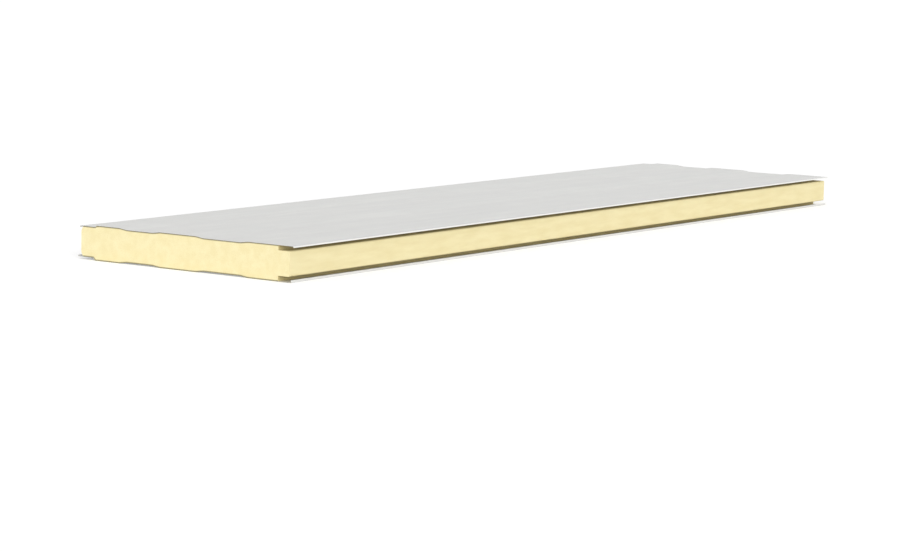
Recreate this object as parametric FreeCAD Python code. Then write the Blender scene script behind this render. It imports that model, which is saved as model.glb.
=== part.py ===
import FreeCAD, Part
import math
import os

# Insulated sandwich panel: two thin profiled steel facings bonded to a rigid foam core.
# One long edge is a socket: the facings overhang the foam and a groove runs behind each of them.
# The other long edge is a tongue: the facings are stepped in, overhang a rounded foam edge,
# and a foil closes the foam between them.
# The panel lies flat. X runs along its length, Y across it from the socket edge to the tongue
# edge and Z up. The origin is the middle of the underside of the bounding box. Millimetres.

# Whole panel
LENGTH = 4650.0  # facings, end to end
COVER_WIDTH = 1120.0  # socket foam face to tongue foil face, the width one panel covers
THICKNESS = 150.0  # outside of one facing to outside of the other

# Facing sheets
SHEET = 0.6  # coated steel
BAND_WIDTH = 235.0  # raised and sunk bands, flank centre to flank centre, from the socket face
LAST_SUNK_BAND = 180.0  # the sunk band nearest the tongue edge is narrower
BAND_DEPTH = 5.5  # how far a sunk band lies below a raised one
FLANK_RUN = 40.0  # sloped part between two bands
BAND_BEND = 80.0  # inside radius of the soft folds of the bands
EDGE_BEND = 1.8  # inside radius of the tight folds at the edges
END_OVERHANG = 3.0  # facings past the foam at each end

# Socket edge
TOP_SOCKET_OVERHANG = 20.0  # top facing past the foam face
BOTTOM_SOCKET_OVERHANG = 10.0
TOP_LIP = 6.0  # turned-in lip, outside height
BOTTOM_LIP = 11.0
TOP_GROOVE = 22.0  # from the outside of the facing to the floor of the groove
BOTTOM_GROOVE = 24.0
GROOVE_DEPTH = 60.0  # from the foam face inwards
NOSE_RADIUS = 5.0  # corners of the foam between the grooves

# Tongue edge
TOP_TONGUE_OVERHANG = 4.0  # top facing past the foil face
BOTTOM_TONGUE_OVERHANG = 14.0
TONGUE_WIDTH = 92.0  # stepped-in strip of each facing, from its tip
TOP_STEP = 6.5  # how far the strip is stepped in, so that it passes under the next panel's lip
BOTTOM_STEP = 11.5
STEP_RUN = 8.0  # sloped part of the step
TONGUE_LIP = 6.0  # turned-in lip at the tip, outside height
EDGE_SETBACK = 12.0  # foil face back to where the rounded edge meets a facing
EDGE_ROUND_HEIGHT = 26.0  # height of each rounded corner of the edge
FOIL = 1.0
FOIL_END_GAP = 6.0  # foil stops short of the foam at each end

# Places across the panel, with the socket foam face at zero
TOP_TIP = COVER_WIDTH + TOP_TONGUE_OVERHANG
BOTTOM_TIP = COVER_WIDTH + BOTTOM_TONGUE_OVERHANG
EDGE_TO_CENTRE = (BOTTOM_TIP - TOP_SOCKET_OVERHANG) / 2  # middle of the whole width


def band_folds():
    """Folds (y, depth, radius) of a facing between its edges: raised, sunk, raised, sunk, raised."""
    folds = []
    last_sunk_start = 3 * BAND_WIDTH
    flanks = (BAND_WIDTH, 2 * BAND_WIDTH, last_sunk_start, last_sunk_start + LAST_SUNK_BAND)
    for middle, goes_down in zip(flanks, (True, False, True, False)):
        before, after = (0.0, BAND_DEPTH) if goes_down else (BAND_DEPTH, 0.0)
        folds.append((middle - FLANK_RUN / 2, before, BAND_BEND))
        folds.append((middle + FLANK_RUN / 2, after, BAND_BEND))
    return folds


def facing_profile(socket_overhang, lip, tip, step):
    """Outside line of one facing as folds (y, depth, inside radius), socket lip to tongue lip."""
    step_start = tip - TONGUE_WIDTH
    socket_lip = [(-socket_overhang, lip), (-socket_overhang, 0.0)]
    tongue_strip = [(step_start, 0.0), (step_start + STEP_RUN, step), (tip, step)]
    tongue_lip = [(tip, step + TONGUE_LIP)]
    return (
        [(y, depth, EDGE_BEND) for y, depth in socket_lip]
        + band_folds()
        + [(y, depth, EDGE_BEND) for y, depth in tongue_strip + tongue_lip]
    )


def both_lines(profile):
    """Outside line of the sheet and the line one sheet thickness further in.

    Both are lists of (y, depth, radius). The side of the sheet that faces the middle of a bend
    gets the inside radius there, and the other side one sheet thickness more.
    """
    headings = []
    for (y0, d0, _), (y1, d1, _) in zip(profile, profile[1:]):
        headings.append(math.atan2(d1 - d0, y1 - y0))
    before = headings[:1] + headings
    after = headings + headings[-1:]
    outside, inside = [], []
    for (y, depth, radius), heading_in, heading_out in zip(profile, before, after):
        half_turn = (heading_out - heading_in) / 2
        middle = (heading_in + heading_out) / 2
        reach = SHEET / math.cos(half_turn)
        inner_y, inner_depth = y - reach * math.sin(middle), depth + reach * math.cos(middle)
        turns_in = half_turn > 0
        outside.append((y, depth, radius + SHEET if turns_in else radius))
        inside.append((inner_y, inner_depth, radius if turns_in else radius + SHEET))
    return outside, inside


def top_height(depth):
    return THICKNESS - depth


def bottom_height(depth):
    return depth


def place(y, depth, height):
    """A point (y, depth) in the panel's own frame at X zero."""
    return FreeCAD.Vector(0, y - EDGE_TO_CENTRE, height(depth))


def along_panel(edges, length):
    """Solid of the given closed outline, centred along X."""
    face = Part.Face(Part.Wire(Part.sortEdges(edges)[0]))
    face.translate(FreeCAD.Vector(-length / 2, 0, 0))
    return face.extrude(FreeCAD.Vector(length, 0, 0))


def rounded_line(folds, height):
    """Edges through the folds (y, depth, radius), with an arc at each but the first and last."""
    points = [place(y, depth, height) for y, depth, _ in folds]
    edges = []
    start = points[0]
    for before, corner, after, (_, _, radius) in zip(points, points[1:], points[2:], folds[1:]):
        back = (before - corner).normalize()
        onward = (after - corner).normalize()
        half_turn = (math.pi - back.getAngle(onward)) / 2
        to_arc = radius * math.tan(half_turn)
        to_middle = radius * (1 / math.cos(half_turn) - 1)
        arc_start, arc_end = corner + back * to_arc, corner + onward * to_arc
        arc_middle = corner + (back + onward).normalize() * to_middle
        edges.append(Part.makeLine(start, arc_start))
        edges.append(Part.Arc(arc_start, arc_middle, arc_end).toShape())
        start = arc_end
    return edges + [Part.makeLine(start, points[-1])]


def facing(profile, height):
    outside, inside = both_lines(profile)
    free_ends = [
        Part.makeLine(place(*outside[end][:2], height), place(*inside[end][:2], height))
        for end in (0, -1)
    ]
    return along_panel(
        rounded_line(outside, height) + rounded_line(inside, height) + free_ends, LENGTH
    )


def rounded_edge(inset):
    """Tongue edge of the foam, or of its foil, from the bottom facing to the top facing.

    Two arcs and the flat between them, the given distance inside the foil's outside face.
    """
    radius = (EDGE_SETBACK**2 + EDGE_ROUND_HEIGHT**2) / (2 * EDGE_SETBACK)
    arc_radius = radius - inset
    centre_y = COVER_WIDTH - radius
    start_angle = math.asin(EDGE_ROUND_HEIGHT / arc_radius)
    arcs = []
    for step, height in ((BOTTOM_STEP, bottom_height), (TOP_STEP, top_height)):
        centre_depth = step + SHEET + EDGE_ROUND_HEIGHT
        points = []
        for angle in (start_angle, start_angle / 2, 0):
            y = centre_y + arc_radius * math.cos(angle)
            points.append(place(y, centre_depth - arc_radius * math.sin(angle), height))
        arcs.append(points)
    (bottom_end, _, bottom_flat), (top_end, _, top_flat) = arcs
    edges = [Part.Arc(*points).toShape() for points in arcs]
    return edges + [Part.makeLine(bottom_flat, top_flat)], (bottom_end, top_end)


def inner_line_between(profile, y_from, y_to):
    """Inner line of a facing between two places across the panel, as folds, ends included."""
    line = both_lines(profile)[1][1:-1]
    folds = [fold for fold in line if y_from < fold[0] < y_to]
    return [(y_from, line[0][1], 0)] + folds + [(y_to, folds[-1][1], 0)]


def nose():
    """Foam between the two grooves of the socket edge, with rounded corners."""
    top, bottom = top_height(TOP_GROOVE), bottom_height(BOTTOM_GROOVE)
    back, face = GROOVE_DEPTH - EDGE_TO_CENTRE, -EDGE_TO_CENTRE
    diagonal = NOSE_RADIUS * (1 - math.sqrt(0.5))
    edges = []
    corners = []
    for level, inwards in ((top, -1), (bottom, 1)):
        on_floor = FreeCAD.Vector(0, face + NOSE_RADIUS, level)
        middle = FreeCAD.Vector(0, face + diagonal, level + inwards * diagonal)
        on_face = FreeCAD.Vector(0, face, level + inwards * NOSE_RADIUS)
        edges.append(Part.makeLine(FreeCAD.Vector(0, back, level), on_floor))
        edges.append(Part.Arc(on_floor, middle, on_face).toShape())
        corners.append(on_face)
    return edges + [Part.makeLine(*corners)]


def foam_core(top_profile, bottom_profile):
    tongue, (bottom_end, top_end) = rounded_edge(FOIL)
    edges = tongue + nose()
    for profile, height, end, groove in (
        (top_profile, top_height, top_end, TOP_GROOVE),
        (bottom_profile, bottom_height, bottom_end, BOTTOM_GROOVE),
    ):
        folds = inner_line_between(profile, GROOVE_DEPTH, end.y + EDGE_TO_CENTRE)
        groove_back = Part.makeLine(
            place(GROOVE_DEPTH, groove, height), place(*folds[0][:2], height)
        )
        edges += [groove_back] + rounded_line(folds, height)
    return along_panel(edges, LENGTH - 2 * END_OVERHANG)


def edge_foil():
    outside, outside_ends = rounded_edge(0)
    inside, inside_ends = rounded_edge(FOIL)
    closing = [Part.makeLine(a, b) for a, b in zip(outside_ends, inside_ends)]
    return along_panel(outside + inside + closing, LENGTH - 2 * (END_OVERHANG + FOIL_END_GAP))


def main():
    top_profile = facing_profile(TOP_SOCKET_OVERHANG, TOP_LIP, TOP_TIP, TOP_STEP)
    bottom_profile = facing_profile(
        BOTTOM_SOCKET_OVERHANG, BOTTOM_LIP, BOTTOM_TIP, BOTTOM_STEP
    )
    shapes = {
        "top_facing_sheet": facing(top_profile, top_height),
        "bottom_facing_sheet": facing(bottom_profile, bottom_height),
        "foam_core": foam_core(top_profile, bottom_profile),
        "edge_foil": edge_foil(),
    }
    os.makedirs("parts", exist_ok=True)
    for name, shape in shapes.items():
        shape.exportStep(os.path.join("parts", name + ".step"))
        box = shape.BoundBox
        print(name, shape.isValid(), len(shape.Solids), round(shape.Volume / 1e9, 6), "m3",
              [round(v, 2) for v in (box.XMin, box.YMin, box.ZMin, box.XMax, box.YMax, box.ZMax)])


main()
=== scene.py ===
import math

import bmesh
import bpy
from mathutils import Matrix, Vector, noise
from mathutils.bvhtree import BVHTree


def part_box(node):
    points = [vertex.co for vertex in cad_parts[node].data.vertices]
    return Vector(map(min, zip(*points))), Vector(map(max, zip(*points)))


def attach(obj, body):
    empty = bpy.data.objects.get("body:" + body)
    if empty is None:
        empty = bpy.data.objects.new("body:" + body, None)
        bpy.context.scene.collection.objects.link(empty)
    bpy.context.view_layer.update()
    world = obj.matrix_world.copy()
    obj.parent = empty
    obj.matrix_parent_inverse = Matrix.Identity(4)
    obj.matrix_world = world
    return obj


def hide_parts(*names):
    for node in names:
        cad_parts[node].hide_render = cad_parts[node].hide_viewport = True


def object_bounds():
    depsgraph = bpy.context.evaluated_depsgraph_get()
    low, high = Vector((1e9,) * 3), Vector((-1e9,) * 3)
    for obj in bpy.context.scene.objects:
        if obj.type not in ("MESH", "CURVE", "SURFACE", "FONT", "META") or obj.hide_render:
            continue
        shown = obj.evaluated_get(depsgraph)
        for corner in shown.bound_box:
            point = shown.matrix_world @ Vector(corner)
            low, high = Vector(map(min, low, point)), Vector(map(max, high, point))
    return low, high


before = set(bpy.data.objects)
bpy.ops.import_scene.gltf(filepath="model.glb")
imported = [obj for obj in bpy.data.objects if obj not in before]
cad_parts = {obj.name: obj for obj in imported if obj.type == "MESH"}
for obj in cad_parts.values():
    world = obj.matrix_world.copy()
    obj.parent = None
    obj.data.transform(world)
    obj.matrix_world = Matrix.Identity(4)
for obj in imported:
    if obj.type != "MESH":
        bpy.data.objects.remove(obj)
cad_low, cad_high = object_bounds()

# Insulated sandwich panel: polyester coated steel facings, sawn rigid foam and a foil edge.
# X runs along the panel, Y across it from the socket edge to the tongue edge, Z up. Metres.

MM = 0.001

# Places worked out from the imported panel
PANEL_MIDDLE = (cad_low + cad_high) / 2
FOAM_LOW, FOAM_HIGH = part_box("foam_core")
FOIL_LOW, FOIL_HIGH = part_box("edge_foil")
SHEET_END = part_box("top_facing_sheet")[1].x

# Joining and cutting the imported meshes
SAME_POINT = 0.002 * MM  # points closer than this are one
FLAT = math.radians(0.5)  # faces that turn less than this are one
ON_CUT = 0.01 * MM  # points closer than this to a cut lie on it
SMOOTH_ANGLE = math.radians(28)  # folds softer than this are shaded as one smooth surface
LIP_SLOPE = 0.6  # sideways part of the normal of a lip or of the fold above it

# Sawn foam ends
SAW_GRID = 11 * MM  # spacing of the cuts that let the sawn face go uneven
SAW_RIPPLE = 0.9 * MM  # how deep the saw leaves the face uneven
SAW_RIPPLE_SIZE = 26 * MM
ON_SAWN_FACE = 0.1 * MM  # points closer than this to the end lie on the sawn face
BOND_AND_SHADE_LINE = 2 * MM  # olive line against each facing: partly dense foam and adhesive, partly painted shade under the sheet's edge
BOND_AND_SHADE_FADE = 6 * MM  # where the line and its painted shade have faded into the open foam, drawn wide so that it shows

# Edge foil
FOIL_GRID = 16 * MM
FOIL_CREASE = 0.9 * MM  # how far a crease stands proud of the foam
FOIL_CREASE_SIZE = 45 * MM
FOIL_CREASE_SHARPNESS = 4
FOIL_RIM = 1 * MM  # stays as it is along the foil's own edges
FOIL_FACE = 0.3  # sideways part of the normal of the foil's outer face

# Studio
FLOOR_REACH = 90.0
FLOOR_DROP = 0.2 * MM  # keeps the floor just clear of the facing that stands on it
FLOOR_LIFT = 0.31  # added to the floor as it is seen, which brings it up to white
SKY_LEVEL = 0.62  # light that the surroundings shed
KEY_DIRECTION = (-0.74, -0.68, 0.40)
KEY_SPREAD = math.radians(50)
KEY_STRENGTH = 1.66

# Camera
LENS = 121.19  # millimetres, on a sensor 36 mm wide
SENSOR = 36.0
EYE_FROM_MIDDLE = Vector((-12.015, -7.987, 1.479))
EYE_TURN = (82.941, -1.404, -55.411)  # degrees


# ---------------------------------------------------------------- pieces


def merged_copy(node):
    """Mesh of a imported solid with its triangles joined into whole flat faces."""
    bm = bmesh.new()
    bm.from_mesh(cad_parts[node].data)
    bmesh.ops.remove_doubles(bm, verts=bm.verts, dist=SAME_POINT)
    bmesh.ops.dissolve_limit(
        bm, angle_limit=FLAT, verts=bm.verts, edges=bm.edges, use_dissolve_boundaries=False,
    )
    return bm


def cut_across(bm, axis, low, high, spacing):
    """Cuts the mesh by planes across an axis, at an even spacing between low and high."""
    count = max(1, round((high - low) / spacing))
    for step in range(1, count):
        place = Vector()
        place[axis] = low + (high - low) * step / count
        direction = Vector()
        direction[axis] = 1.0
        geometry = bm.verts[:] + bm.edges[:] + bm.faces[:]
        bmesh.ops.bisect_plane(bm, geom=geometry, dist=ON_CUT, plane_co=place, plane_no=direction)


def finish_piece(bm, name, node, slot, *materials):
    """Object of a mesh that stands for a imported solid, riding on the panel's only body."""
    mesh = bpy.data.meshes.new(name)
    bm.to_mesh(mesh)
    bm.free()
    mesh.shade_smooth()
    mesh.set_sharp_from_angle(angle=SMOOTH_ANGLE)
    for material in materials:
        mesh.materials.append(material)
    piece = bpy.data.objects.new(name, mesh)
    bpy.context.scene.collection.objects.link(piece)
    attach(piece, "root")
    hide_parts(node)


def folded_facing(name, node, bands, lips):
    """Steel facing whose soft band folds shade as smooth waves, with a second material for its
    lips, a painted highlight on the top facing.
    """
    bm = merged_copy(node)
    for face in bm.faces:
        # Lip faces take the second material, which on the top facing is a painted highlight.
        if abs(face.normal.y) > LIP_SLOPE:
            face.material_index = 1
    finish_piece(bm, name, node, "coated_steel_sheet", bands, lips)


def mark_facing_gap(bm):
    """Gives each point of the foam its distance to the nearest facing, for the bond line and its
    painted shade.
    """
    facings = []
    for node in ("top_facing_sheet", "bottom_facing_sheet"):
        sheet = merged_copy(node)
        facings.append(BVHTree.FromBMesh(sheet))
        sheet.free()
    gap = bm.verts.layers.float.new("facing_gap")
    for vertex in bm.verts:
        vertex[gap] = min(facing.find_nearest(vertex.co)[3] for facing in facings)


def sawn_foam(foam):
    """Foam core with its two ends left slightly uneven by the saw."""
    bm = merged_copy("foam_core")
    cut_across(bm, 1, FOAM_LOW.y, FOAM_HIGH.y, SAW_GRID)
    cut_across(bm, 2, FOAM_LOW.z, FOAM_HIGH.z, SAW_GRID)
    mark_facing_gap(bm)
    for vertex in bm.verts:
        at_rim = any(abs(edge.calc_face_angle(0)) > SMOOTH_ANGLE for edge in vertex.link_edges)
        if abs(vertex.co.x) > FOAM_HIGH.x - ON_SAWN_FACE and not at_rim:
            ripple = noise.noise(vertex.co / SAW_RIPPLE_SIZE)
            vertex.co.x -= math.copysign(SAW_RIPPLE * (0.5 + 0.5 * ripple), vertex.co.x)
    finish_piece(bm, "sawn_foam_core", "foam_core", "rigid_foam", foam)


def creased_foil(foil):
    """Foil over the rounded foam edge, standing a little proud where it is creased."""
    bm = merged_copy("edge_foil")
    cut_across(bm, 0, FOIL_LOW.x, FOIL_HIGH.x, FOIL_GRID)
    cut_across(bm, 2, FOIL_LOW.z, FOIL_HIGH.z, FOIL_GRID)
    bm.normal_update()
    moves = {}
    for vertex in bm.verts:
        x, _, z = vertex.co
        to_rim = min(z - FOIL_LOW.z, FOIL_HIGH.z - z, FOIL_HIGH.x - abs(x))
        if vertex.normal.y > FOIL_FACE and to_rim > FOIL_RIM:
            crease = FOIL_CREASE_SHARPNESS * abs(noise.noise(vertex.co / FOIL_CREASE_SIZE))
            moves[vertex] = vertex.normal * FOIL_CREASE * max(0.0, 1 - crease)
    for vertex, move in moves.items():
        vertex.co += move
    finish_piece(bm, "creased_edge_foil", "edge_foil", "foil_tape", foil)


# ---------------------------------------------------------------- finishes


def linear(hex_colour):
    """sRGB hex to the linear colour that a shader takes."""
    channels = [int(hex_colour[i:i + 2], 16) / 255 for i in (1, 3, 5)]
    return [c / 12.92 if c <= 0.04045 else ((c + 0.055) / 1.055) ** 2.4 for c in channels] + [1.0]


def add_node(tree, kind, inputs=None, **settings):
    """Adds a node. Its inputs are given as values, or as the sockets that feed them."""
    node = tree.nodes.new(kind)
    for name, value in settings.items():
        setattr(node, name, value)
    for name, value in (inputs or {}).items():
        if isinstance(value, bpy.types.NodeSocket):
            tree.links.new(value, node.inputs[name])
        else:
            node.inputs[name].default_value = value
    return node


def new_material(name):
    material = bpy.data.materials.new(name)
    material.use_nodes = True
    material.node_tree.nodes.clear()
    return material, material.node_tree


def object_place(tree):
    return add_node(tree, "ShaderNodeTexCoord").outputs["Object"]


def scaled_place(tree, place, size):
    """The place measured in steps of size (x, y, z), which is in millimetres."""
    scale = [1 / (step * MM) for step in size]
    return add_node(tree, "ShaderNodeMapping", {"Vector": place, "Scale": scale}).outputs["Vector"]


def stretched_noise(tree, place, size, detail=2.0, roughness=0.5):
    """Noise whose patches measure about size (x, y, z) in millimetres."""
    texture = add_node(tree, "ShaderNodeTexNoise", {
        "Vector": scaled_place(tree, place, size), "Scale": 1.0,
        "Detail": detail, "Roughness": roughness,
    })
    return texture.outputs["Fac"]


def ranged(tree, value, low=0.3, high=0.7, to_low=0.0, to_high=1.0):
    """The value with low..high spread over to_low..to_high and held there.

    Most of a noise lies between the low and high that are given here.
    """
    node = add_node(tree, "ShaderNodeMapRange", {
        "Value": value, "From Min": low, "From Max": high, "To Min": to_low, "To Max": to_high,
    })
    return node.outputs["Result"]


def blended(tree, share, first, second):
    """Colour between two, each a hex colour or a socket."""
    colours = [linear(c) if isinstance(c, str) else c for c in (first, second)]
    inputs = {0: share, 6: colours[0], 7: colours[1]}
    return add_node(tree, "ShaderNodeMix", inputs, data_type="RGBA").outputs[2]


def along_and_across(tree, place):
    parts = add_node(tree, "ShaderNodeSeparateXYZ", {"Vector": place}).outputs
    return parts["X"], parts["Y"]


def from_end(tree, place, end):
    """How far a point lies inside the nearer end of a piece, in metres."""
    along, _ = along_and_across(tree, place)
    reach = add_node(tree, "ShaderNodeMath", {0: along}, operation="ABSOLUTE").outputs[0]
    return add_node(tree, "ShaderNodeMath", {0: end, 1: reach}, operation="SUBTRACT").outputs[0]


def coated_steel(name, dull, bright):
    """Polyester coil-coated steel, light grey.

    Reads as painted metal: a soft gloss, faint lengthwise lighter and darker streaks and a
    zinc-grey cut edge.
    The top lips take a lighter copy of it, a painted highlight along the folded edges.
    """
    material, tree = new_material(name)
    place = object_place(tree)
    streaks = stretched_noise(tree, place, (700, 60, 60))
    patches = stretched_noise(tree, place, (260, 110, 110), detail=3.0)
    colour = blended(tree, ranged(tree, streaks, to_low=0.2, to_high=0.8), dull, bright)
    colour = blended(tree, ranged(tree, patches, 0.35, 0.65, to_high=0.5), colour, dull)
    cut_edge = ranged(tree, from_end(tree, place, SHEET_END), 0.3 * MM, 0.1 * MM)
    colour = blended(tree, cut_edge, colour, "#8F908C")
    peel = stretched_noise(tree, place, (2.5, 2.5, 2.5))
    bump = add_node(tree, "ShaderNodeBump", {
        "Height": peel, "Strength": 0.12, "Distance": 0.05 * MM,
    })
    shader = add_node(tree, "ShaderNodeBsdfPrincipled", {
        "Base Color": colour, "Roughness": ranged(tree, streaks, to_low=0.46, to_high=0.54),
        "Normal": bump.outputs["Normal"], "IOR": 1.5,
    })
    add_node(tree, "ShaderNodeOutputMaterial", {"Surface": shader.outputs["BSDF"]})
    return material


def rigid_foam():
    """Rigid polyisocyanurate foam, pale yellow.

    The sawn ends are matt with an open cell texture, and darken to a thin olive line against each
    facing: partly dense foam and set adhesive, partly painted shade under the sheet's edge. The
    socket edge has a smoother moulded skin with faint lengthwise flow marks, and painted shade in
    its milled grooves.
    """
    material, tree = new_material("rigid_foam")
    place = object_place(tree)

    # Real cells are under a millimetre: these are drawn 3 mm across so that they show.
    cells = add_node(tree, "ShaderNodeTexVoronoi", {
        "Vector": scaled_place(tree, place, (3, 3, 3)), "Scale": 1.0,
    }).outputs["Distance"]
    clouds = stretched_noise(tree, place, (35, 35, 35), detail=4.0)
    sawn = blended(tree, ranged(tree, clouds, 0.35, 0.65), "#F8EBB9", "#FDF2C4")
    sawn = blended(tree, ranged(tree, cells, 0.3, 0.9, to_high=0.25), sawn, "#E6D290")
    gap = add_node(tree, "ShaderNodeAttribute", attribute_name="facing_gap").outputs["Fac"]
    # Thin olive line against each facing: partly a real bond line, partly painted shade under the
    # sheet's edge.
    sawn = blended(tree, ranged(tree, gap, BOND_AND_SHADE_FADE, BOND_AND_SHADE_LINE), sawn, "#8C8464")

    flow = stretched_noise(tree, place, (130, 24, 24), detail=4.0)
    skin = blended(tree, ranged(tree, flow), "#F0E2AE", "#F8ECBC")
    _, across = along_and_across(tree, place)
    # Painted shade: the foam colour is darkened inside the milled grooves, where shade falls.
    groove_painted_shade = ranged(tree, across, FOAM_LOW.y + 3 * MM, FOAM_LOW.y + 15 * MM)
    skin = blended(tree, groove_painted_shade, skin, "#D8CA98")

    on_side = ranged(tree, from_end(tree, place, FOAM_HIGH.x), 1.5 * MM, 2.5 * MM)
    rough_face = add_node(tree, "ShaderNodeBump", {
        "Height": cells, "Strength": 0.5, "Distance": 0.35 * MM,
    })
    soft_face = add_node(tree, "ShaderNodeBump", {
        "Height": flow, "Strength": 0.4, "Distance": 0.5 * MM,
    })
    normal = add_node(tree, "ShaderNodeMix", {
        0: on_side, 4: rough_face.outputs["Normal"], 5: soft_face.outputs["Normal"],
    }, data_type="VECTOR")
    shader = add_node(tree, "ShaderNodeBsdfPrincipled", {
        "Base Color": blended(tree, on_side, sawn, skin),
        "Roughness": ranged(tree, on_side, 0.0, 1.0, to_low=0.92, to_high=0.7),
        "Normal": normal.outputs[1], "IOR": 1.45,
    })
    add_node(tree, "ShaderNodeOutputMaterial", {"Surface": shader.outputs["BSDF"]})
    return material


def edge_foil():
    """Aluminium foil laminated to paper, stuck over the foam edge.

    Reads as a dull warm silver-grey that catches soft light on fine creases.
    """
    material, tree = new_material("laminated_aluminium_foil")
    place = object_place(tree)
    clouds = stretched_noise(tree, place, (160, 30, 30), detail=4.0)
    creases = stretched_noise(tree, place, (40, 9, 9), detail=5.0, roughness=0.6)
    bump = add_node(tree, "ShaderNodeBump", {
        "Height": creases, "Strength": 0.5, "Distance": 0.8 * MM,
    })
    shader = add_node(tree, "ShaderNodeBsdfPrincipled", {
        "Base Color": blended(tree, ranged(tree, clouds, 0.35, 0.65), "#D2CDC8", "#DEDAD5"),
        "Metallic": 0.35, "Roughness": ranged(tree, clouds, to_low=0.4, to_high=0.52),
        "Normal": bump.outputs["Normal"],
    })
    add_node(tree, "ShaderNodeOutputMaterial", {"Surface": shader.outputs["BSDF"]})
    return material


# ---------------------------------------------------------------- studio


def seen_directly(tree):
    """1 where a camera, mirror or glass ray meets the surface, 0 for the light it sheds."""
    rays = add_node(tree, "ShaderNodeLightPath").outputs
    seen = rays["Is Camera Ray"]
    for other in ("Is Glossy Ray", "Is Transmission Ray"):
        either = add_node(tree, "ShaderNodeMath", {0: seen, 1: rays[other]}, operation="MAXIMUM")
        seen = either.outputs[0]
    return seen


def studio_floor():
    """Wide matt floor that is white to the eye and still takes the panel's shadow."""
    material, tree = new_material("white_studio_floor")
    paint = add_node(tree, "ShaderNodeBsdfDiffuse", {"Color": linear("#F4F4F4")})
    lift = ranged(tree, seen_directly(tree), 0.0, 1.0, to_high=FLOOR_LIFT)
    glow = add_node(tree, "ShaderNodeEmission", {"Color": linear("#FFFFFF"), "Strength": lift})
    both = add_node(tree, "ShaderNodeAddShader", {0: paint.outputs[0], 1: glow.outputs[0]})
    add_node(tree, "ShaderNodeOutputMaterial", {"Surface": both.outputs[0]})
    bm = bmesh.new()
    bmesh.ops.create_grid(bm, x_segments=1, y_segments=1, size=FLOOR_REACH)
    bmesh.ops.translate(bm, verts=bm.verts, vec=(0, 0, -FLOOR_DROP))
    mesh = bpy.data.meshes.new("studio_floor")
    bm.to_mesh(mesh)
    bm.free()
    mesh.materials.append(material)
    floor = bpy.data.objects.new("studio_floor", mesh)
    bpy.context.scene.collection.objects.link(floor)


def studio_world():
    """White all round, at a plain level for the light that it sheds."""
    world = bpy.data.worlds.new("studio_world")
    world.use_nodes = True
    tree = world.node_tree
    tree.nodes.clear()
    strength = ranged(tree, seen_directly(tree), 0.0, 1.0, to_low=SKY_LEVEL)
    sky = add_node(tree, "ShaderNodeBackground", {
        "Color": linear("#FFFFFF"), "Strength": strength,
    })
    add_node(tree, "ShaderNodeOutputWorld", {"Surface": sky.outputs[0]})
    bpy.context.scene.world = world


def key_lamp():
    """Soft lamp on the sawn end and the socket edge, far off so that it lights them evenly."""
    data = bpy.data.lights.new("key_lamp", "SUN")
    data.angle = KEY_SPREAD
    data.energy = KEY_STRENGTH
    lamp = bpy.data.objects.new("key_lamp", data)
    lamp.rotation_euler = Vector(KEY_DIRECTION).to_track_quat("Z", "Y").to_euler()
    bpy.context.scene.collection.objects.link(lamp)


def camera():
    """Long lens at a low three-quarter angle, from the sawn end and the socket edge."""
    data = bpy.data.cameras.new("camera")
    data.sensor_width = SENSOR
    data.lens = LENS
    eye = bpy.data.objects.new("camera", data)
    eye.location = PANEL_MIDDLE + EYE_FROM_MIDDLE
    eye.rotation_euler = [math.radians(turn) for turn in EYE_TURN]
    bpy.context.scene.collection.objects.link(eye)
    bpy.context.scene.camera = eye


def main():
    steel = coated_steel("polyester_coated_steel", "#DEDEDC", "#EAEAE7")
    # Lighter copy of the coating for the top facing's lips: a painted highlight along the folded
    # edges.
    lips_painted_highlight = coated_steel("lips_with_painted_highlight", "#F2F2EF", "#FBFBF8")
    folded_facing("coated_top_facing", "top_facing_sheet", bands=steel, lips=lips_painted_highlight)
    folded_facing("coated_bottom_facing", "bottom_facing_sheet", bands=steel, lips=steel)
    sawn_foam(rigid_foam())
    creased_foil(edge_foil())
    studio_floor()
    studio_world()
    key_lamp()
    camera()
    bpy.context.scene.view_settings.view_transform = "Standard"


main()
